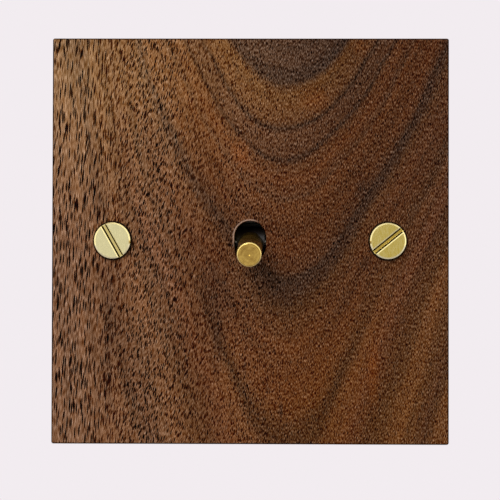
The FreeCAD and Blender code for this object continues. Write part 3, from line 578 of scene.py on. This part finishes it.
def turned_brass():
    """Brass straight from the lathe: uneven fine rings on the face, and a warm, slightly smoky tone whose
    darkness is partly painted shade on the downward tip; the bevel round the tip has a painted highlight.
    """
    material, tree, shader = new_material("brass_turned_lacquered", Metallic=1.0)
    upright = {"Vector": millimetres(tree), "Center": PIVOT, "Angle": math.radians(-DOLLY_TILT)}
    place = add_node(tree, TURN, upright, rotation_type="X_AXIS")
    across = add_node(tree, VECTOR, {0: place, 1: (1, 0, 1)}, operation="MULTIPLY")
    radius = add_node(tree, VECTOR, {0: across}, output="Value", operation="LENGTH")
    along = add_node(tree, VECTOR, {0: place, 1: (0, 1, 0)}, output="Value", operation="DOT_PRODUCT")
    rings = add_node(tree, JOIN, {0: radius, 1: along})
    rings = add_node(tree, NOISE, {"Vector": rings, "Scale": 1 / RING_SPACING, "Detail": 2.0})
    smoke = add_node(tree, NOISE, {"Vector": place, "Scale": 1 / SMOKE_SIZE, "Detail": 2.0})
    clean = add_node(tree, MATH, {0: rings, 1: smoke}, operation="ADD")
    clean = add_node(tree, RANGE, {0: clean, 1: 0.7, 2: 1.3})
    bevel = PIVOT[1] - DOLLY_REACH + DOLLY_CHAMFER
    tip = add_node(tree, RANGE, {0: along, 1: bevel + 0.1, 2: bevel})
    rim = DOLLY_DIAMETER / 2 - DOLLY_CHAMFER
    rim = add_node(tree, RANGE, {0: radius, 1: rim, 2: rim + 0.1, 4: tip})
    # Painted highlight on the bevel round the tip; the dark base colour is partly painted shade
    colour = lay_over(tree, linear("#947436"), [(clean, "#C9AA58"), (rim, "#DCC98A")])
    tree.links.new(colour, shader.inputs["Base Color"])
    rough = add_node(tree, RANGE, {0: rings, 1: 0.3, 2: 0.7, 3: 0.2, 4: 0.34})
    tree.links.new(rough, shader.inputs["Roughness"])
    set_bump(tree, shader, rings, TURNED_RELIEF)
    return material


def plain_metal(name, colour, roughness):
    """Plated or machined metal: a soft mirror with faint mottling, and painted shade in its slots and
    corners.
    """
    material, tree, shader = new_material(name, Metallic=1.0)
    mottle = {"Vector": millimetres(tree), "Scale": 1 / MOTTLE_SIZE, "Detail": 3.0}
    mottle = add_node(tree, NOISE, mottle)
    dull = add_node(tree, RANGE, {0: mottle, 1: 0.3, 2: 0.7, 4: 0.3})
    # Painted shade: ambient occlusion darkens the slots and corners
    inside = {"Distance": OCCLUSION_SHADE_REACH * MM}
    inside = add_node(tree, "ShaderNodeAmbientOcclusion", inside, output="AO", only_local=True)
    occlusion_shade = add_node(tree, RANGE, {0: inside, 1: 0.85, 2: 0.45, 4: 0.85})
    colour = lay_over(tree, linear(colour), [(dull, "#75706A"), (occlusion_shade, "#1E1A15")])
    tree.links.new(colour, shader.inputs["Base Color"])
    rough = add_node(tree, RANGE, {0: mottle, 1: 0.3, 2: 0.7, 3: roughness - 0.08, 4: roughness + 0.08})
    tree.links.new(rough, shader.inputs["Roughness"])
    set_bump(tree, shader, mottle, PLATED_RELIEF)
    return material


def moulded_nylon(name, colour):
    """Nylon moulded in a spark-eroded tool: an even satin with a fine leathery grain."""
    material, tree, shader = new_material(name, Base_Color=linear(colour), Roughness=0.48, IOR=1.53)
    leather = {"Vector": millimetres(tree), "Scale": 1 / NYLON_GRAIN, "Detail": 3.0}
    leather = add_node(tree, NOISE, leather)
    set_bump(tree, shader, leather, NYLON_RELIEF)
    return material


def paint(material, *nodes):
    """Gives CAD nodes a material."""
    for name in nodes:
        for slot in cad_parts[name].material_slots:
            slot.material = material


def paint_switch():
    """Puts each finish on the pieces that have it."""
    paint(walnut(), "wooden_faceplate")
    paint(
        plain_metal("brass_machined", "#C9A85C", 0.34),
        "rocker_contact", "terminal_upper", "terminal_lower", "terminal_common",
        "terminal_screws", "earth_terminal", "earth_screw",
    )
    paint(
        plain_metal("steel_zinc_plated", "#C3C5C6", 0.38),
        "steel_yoke", "housing_screws", "module_screws",
    )
    paint(plain_metal("steel_zinc_yellow", "#C4AC72", 0.34), "yoke_wood_screws")
    paint(
        plain_metal("steel_ground", "#B4B5B6", 0.25),
        "dolly_pivot_pin", "spring_plunger", "plunger_spring",
    )
    paint(
        plain_metal("silver_contact", "#DCDCD6", 0.25),
        "moving_contact_tips", "fixed_contact_upper", "fixed_contact_lower",
    )
    paint(moulded_nylon("nylon_black_moulded", "#171616"), "mechanism_cover", "mechanism_body")
    paint(moulded_nylon("nylon_brown_moulded", "#1C120D"), "dolly_carrier")


def turn_piece(name, profile):
    """A piece turned about Z: a disc drawn out through (radius, height) steps."""
    radius, height = profile[0]
    bpy.ops.object.select_all(action="DESELECT")
    bpy.ops.mesh.primitive_circle_add(vertices=SIDES, radius=radius * MM, fill_type="NGON")
    piece = bpy.context.object
    piece.name = name
    bpy.ops.object.mode_set(mode="EDIT")
    bpy.ops.mesh.select_all(action="SELECT")
    bpy.ops.transform.translate(value=(0, 0, height * MM))
    for (radius, height), (next_radius, next_height) in zip(profile, profile[1:]):
        rise = (0, 0, (next_height - height) * MM)
        bpy.ops.mesh.extrude_region_move(TRANSFORM_OT_translate={"value": rise})
        growth = next_radius / radius
        bpy.ops.transform.resize(value=(growth, growth, 1))
    bpy.ops.mesh.select_all(action="SELECT")
    bpy.ops.mesh.normals_make_consistent(inside=False)
    bpy.ops.object.mode_set(mode="OBJECT")
    return piece


def apply_modifier(piece, kind, **settings):
    """Adds a modifier to a piece and applies it."""
    modifier = piece.modifiers.new(kind.lower(), kind)
    for name, value in settings.items():
        setattr(modifier, name, value)
    bpy.context.view_layer.objects.active = piece
    bpy.ops.object.modifier_apply(modifier=modifier.name)


def soften_edges(piece):
    """Takes the sharpness off a turned piece's edges."""
    limit = {"limit_method": "ANGLE", "angle_limit": SOFTENED_ANGLE}
    apply_modifier(piece, "BEVEL", width=EDGE_SOFTNESS * MM, segments=2, **limit)


def cut_groove(screw, depth, floor, mouth):
    """Cuts a groove along X into a screw's face, with sides that draw in towards its floor."""
    bpy.ops.object.select_all(action="DESELECT")
    bpy.ops.mesh.primitive_plane_add(size=MM)
    cutter = bpy.context.object
    bpy.ops.object.mode_set(mode="EDIT")
    bpy.ops.mesh.select_all(action="SELECT")
    bpy.ops.transform.resize(value=(2 * HEAD_DIAMETER, floor, 1))
    bpy.ops.transform.translate(value=(0, 0, (HEAD_FACE - depth) * MM))
    bpy.ops.mesh.extrude_region_move(TRANSFORM_OT_translate={"value": (0, 0, 2 * depth * MM)})
    bpy.ops.transform.resize(value=(1, 2 * mouth / floor - 1, 1))
    bpy.ops.mesh.select_all(action="SELECT")
    bpy.ops.mesh.normals_make_consistent(inside=False)
    bpy.ops.object.mode_set(mode="OBJECT")
    apply_modifier(screw, "BOOLEAN", operation="DIFFERENCE", object=cutter, solver="EXACT")
    bpy.data.objects.remove(cutter)


def wind_thread():
    """The ridge of a screw thread: a sharp-edged section wound up the core, with closed ends."""
    depth = (THREAD_DIAMETER - CORE_DIAMETER) / 2
    bpy.ops.object.select_all(action="DESELECT")
    bpy.ops.mesh.primitive_circle_add(vertices=4, radius=depth * MM, fill_type="NOTHING")
    thread = bpy.context.object
    bpy.ops.object.mode_set(mode="EDIT")
    bpy.ops.mesh.select_all(action="SELECT")
    bpy.ops.transform.rotate(value=math.radians(90), orient_axis="X", center_override=(0, 0, 0))
    bpy.ops.transform.resize(value=(1, 1, THREAD_FLATNESS))
    bpy.ops.transform.translate(value=(CORE_DIAMETER / 2 * MM, 0, THREAD_START * MM))
    bpy.ops.object.mode_set(mode="OBJECT")
    turns = int((THREAD_END - THREAD_START) / THREAD_PITCH)
    winding = {"axis": "Z", "screw_offset": THREAD_PITCH * MM, "iterations": turns}
    apply_modifier(thread, "SCREW", steps=THREAD_STEPS, render_steps=THREAD_STEPS, **winding)
    bpy.ops.object.mode_set(mode="EDIT")
    bpy.ops.mesh.select_all(action="SELECT")
    bpy.ops.mesh.fill_holes(sides=4)
    bpy.ops.mesh.normals_make_consistent(inside=False)
    bpy.ops.object.mode_set(mode="OBJECT")
    return thread


def join(piece, *others):
    """Makes several pieces one."""
    bpy.ops.object.select_all(action="DESELECT")
    for part in (piece, *others):
        part.select_set(True)
    bpy.context.view_layer.objects.active = piece
    bpy.ops.object.join()


def set_in_place(piece, matrix, material, node, body):
    """Sets a finished piece where its CAD node is, and lets it stand for that node."""
    bpy.ops.object.select_all(action="DESELECT")
    piece.select_set(True)
    bpy.context.view_layer.objects.active = piece
    piece.matrix_world = matrix
    bpy.ops.object.transform_apply(location=True, rotation=True, scale=True)
    bpy.ops.object.shade_smooth_by_angle(angle=SMOOTH_ANGLE)
    piece.data.materials.clear()
    piece.data.materials.append(material)
    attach(piece, body)
    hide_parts(node)


def make_fixing_screws():
    """The two slotted screws: bevelled flat head, plain neck in the wood, thread behind the wall."""
    head, neck, core = HEAD_DIAMETER / 2, NECK_DIAMETER / 2, CORE_DIAMETER / 2
    profile = [
        (TIP_DIAMETER / 2, SCREW_TIP),
        (core, SCREW_TIP + TIP_CHAMFER),
        (core, THREAD_END),
        (neck, 0),
        (neck, PLATE_THICKNESS),
        (head, PLATE_THICKNESS),
        (head, HEAD_FACE - HEAD_CHAMFER),
        (head - HEAD_CHAMFER, HEAD_FACE),
    ]
    screw = turn_piece("screw_left", profile)
    lip_floor = SLOT_MOUTH - (SLOT_MOUTH - SLOT_FLOOR) * SLOT_LIP_DEPTH / SLOT_DEPTH
    cut_groove(screw, SLOT_DEPTH, SLOT_FLOOR, SLOT_MOUTH)
    cut_groove(screw, SLOT_LIP_DEPTH, lip_floor, lip_floor + 2 * SLOT_LIP)
    soften_edges(screw)
    join(screw, wind_thread())
    twin = screw.copy()
    twin.name = "screw_right"
    twin.data = screw.data.copy()
    bpy.context.scene.collection.objects.link(twin)
    brass = polished_brass()
    sides = [(screw, "left", -1, LEFT_SLOT_ANGLE), (twin, "right", 1, RIGHT_SLOT_ANGLE)]
    for piece, side, sign, angle in sides:
        across = Matrix.Translation((sign * SCREW_CENTRES / 2 * MM, 0, 0))
        turned = Matrix.Rotation(math.radians(angle), 4, "Z")
        node = f"fixing_screw_{side}"
        set_in_place(piece, across @ FACING_ROOM @ turned, brass, node, "switch_frame")


def make_dolly():
    """The turned dolly: bored foot, bevelled tip, a face with fine turned rings and a centre pip."""
    radius, bore = DOLLY_DIAMETER / 2, DOLLY_BORE_DIAMETER / 2
    profile = [
        (bore, DOLLY_BORE_END),
        (bore, DOLLY_FOOT),
        (radius, DOLLY_FOOT),
        (radius, DOLLY_REACH - DOLLY_CHAMFER),
    ]
    rim = radius - DOLLY_CHAMFER
    rings = int((rim - PIP_DIAMETER / 2) / RING_SPACING)
    for ring in range(rings + 1):
        sunk = RING_DEPTH * (ring % 2)
        profile.append((rim - ring * RING_SPACING, DOLLY_REACH - sunk))
    profile.append((PIP_DIAMETER / 2, DOLLY_REACH))
    profile.append((PIP_POINT_DIAMETER / 2, DOLLY_REACH - PIP_DEPTH))
    dolly = turn_piece("dolly", profile)
    soften_edges(dolly)
    tilt = Matrix.Translation(Vector(PIVOT) * MM) @ Matrix.Rotation(math.radians(DOLLY_TILT), 4, "X")
    set_in_place(dolly, tilt @ FACING_ROOM, turned_brass(), "brass_dolly", "dolly")


def seen_directly(tree):
    """1 for what the camera, a mirror or glass sees, and 0 for soft light."""
    path = add_node(tree, "ShaderNodeLightPath").node.outputs
    seen = add_node(tree, MATH, {0: path["Is Camera Ray"], 1: path["Is Glossy Ray"]}, operation="MAXIMUM")
    return add_node(tree, MATH, {0: seen, 1: path["Is Transmission Ray"]}, operation="MAXIMUM")


def make_world():
    """A pale backdrop all round, which lights the object softly."""
    world = bpy.data.worlds.new("studio")
    bpy.context.scene.world = world
    world.use_nodes = True
    tree = world.node_tree
    background = tree.nodes["Background"]
    soft = (SOFT_LIGHT, SOFT_LIGHT, SOFT_LIGHT, 1.0)
    colour = lay_over(tree, soft, [(seen_directly(tree), BACKDROP)])
    tree.links.new(colour, background.inputs["Color"])


def make_floor():
    """A pale floor that takes the object's shadow near it and fades into the backdrop."""
    bpy.ops.object.select_all(action="DESELECT")
    bpy.ops.mesh.primitive_plane_add(size=FLOOR_SIZE * MM, location=(0, 0, -FLOOR_DROP * MM))
    floor = bpy.context.object
    floor.name = "floor"
    material, tree, shader = new_material("floor_paper", Base_Color=linear(BACKDROP), Roughness=0.8)
    start, end = FLOOR_FADE
    away = add_node(tree, VECTOR, {0: millimetres(tree)}, output="Value", operation="LENGTH")
    away = add_node(tree, RANGE, {0: away, 1: start, 2: end}, interpolation_type="SMOOTHSTEP")
    fade = add_node(tree, MATH, {0: away, 1: seen_directly(tree)}, operation="MULTIPLY")
    glow = add_node(tree, GLOW, {0: linear(BACKDROP)})
    mixed = add_node(tree, "ShaderNodeMixShader", {0: fade, 1: shader.outputs[0], 2: glow})
    tree.links.new(mixed, tree.nodes["Material Output"].inputs["Surface"])
    floor.data.materials.append(material)


def make_lamp(name, place, power, size):
    """A square soft box that faces the switch."""
    lamp = bpy.data.lights.new(name, "AREA")
    lamp.energy = power
    lamp.size = size * MM
    box = bpy.data.objects.new(name, lamp)
    bpy.context.scene.collection.objects.link(box)
    box.location = Vector(place) * MM
    box.rotation_euler = Vector(place).to_track_quat("Z", "Y").to_euler()


def show_to_metal(card, material, colour, strength=1.0):
    """Lets a card glow in a colour that polished metal alone sees."""
    tree = material.node_tree
    glow = add_node(tree, GLOW, {0: colour, 1: strength})
    tree.links.new(glow, tree.nodes["Material Output"].inputs["Surface"])
    card.data.materials.append(material)
    card.visible_camera = False
    card.visible_diffuse = False
    card.visible_transmission = False
    card.visible_shadow = False


def make_board():
    """A warm board behind the camera, lighter on the left, for the flat faces of polished metal."""
    bpy.ops.object.select_all(action="DESELECT")
    stand = {"location": (0, -BOARD_AHEAD * MM, 0), "rotation": (math.radians(90), 0, 0)}
    bpy.ops.mesh.primitive_plane_add(size=BOARD_SIZE * MM, **stand)
    board = bpy.context.object
    board.name = "board"
    material, tree = new_material("board_warm")[:2]
    left, right = BOARD_SHADING
    across = add_node(tree, SPLIT, {0: millimetres(tree)})
    share = add_node(tree, RANGE, {0: across, 1: left, 2: right})
    colour = add_node(tree, RAMP, {0: share}, stops=[(0.0, "#D9D7CC"), (1.0, "#B8A558")])
    show_to_metal(board, material, colour)


def make_hoop():
    """A bright hoop of paper round the set, for the light on the bevels of polished metal."""
    bpy.ops.object.select_all(action="DESELECT")
    stand = {"location": (0, -HOOP_AHEAD * MM, 0), "rotation": (math.radians(90), 0, 0)}
    size = {"radius": HOOP_RADIUS * MM, "depth": HOOP_DEPTH * MM, "vertices": 64}
    bpy.ops.mesh.primitive_cylinder_add(end_fill_type="NOTHING", **size, **stand)
    hoop = bpy.context.object
    hoop.name = "hoop"
    material = new_material("hoop_paper")[0]
    show_to_metal(hoop, material, linear("#FFF6DC"), HOOP_GLOW)


def make_camera():
    """The camera where the photograph was taken."""
    camera = bpy.data.objects.new("camera", bpy.data.cameras.new("camera"))
    bpy.context.scene.collection.objects.link(camera)
    camera.data.lens = CAMERA_LENS
    camera.data.sensor_width = CAMERA_SENSOR
    turn = Matrix.Rotation(math.radians(CAMERA_YAW), 3, "Z")
    turn = turn @ Matrix.Rotation(math.radians(90 + CAMERA_PITCH), 3, "X")
    turn = turn @ Matrix.Rotation(math.radians(-CAMERA_ROLL), 3, "Z")
    camera.location = Vector(CAMERA_PLACE) * MM
    camera.rotation_euler = turn.to_euler()
    bpy.context.scene.camera = camera


paint_switch()
make_fixing_screws()
make_dolly()
make_world()
make_floor()
make_board()
make_hoop()
make_lamp("key", KEY_PLACE, KEY_POWER, KEY_SIZE)
make_camera()
bpy.context.scene.view_settings.view_transform = "Standard"
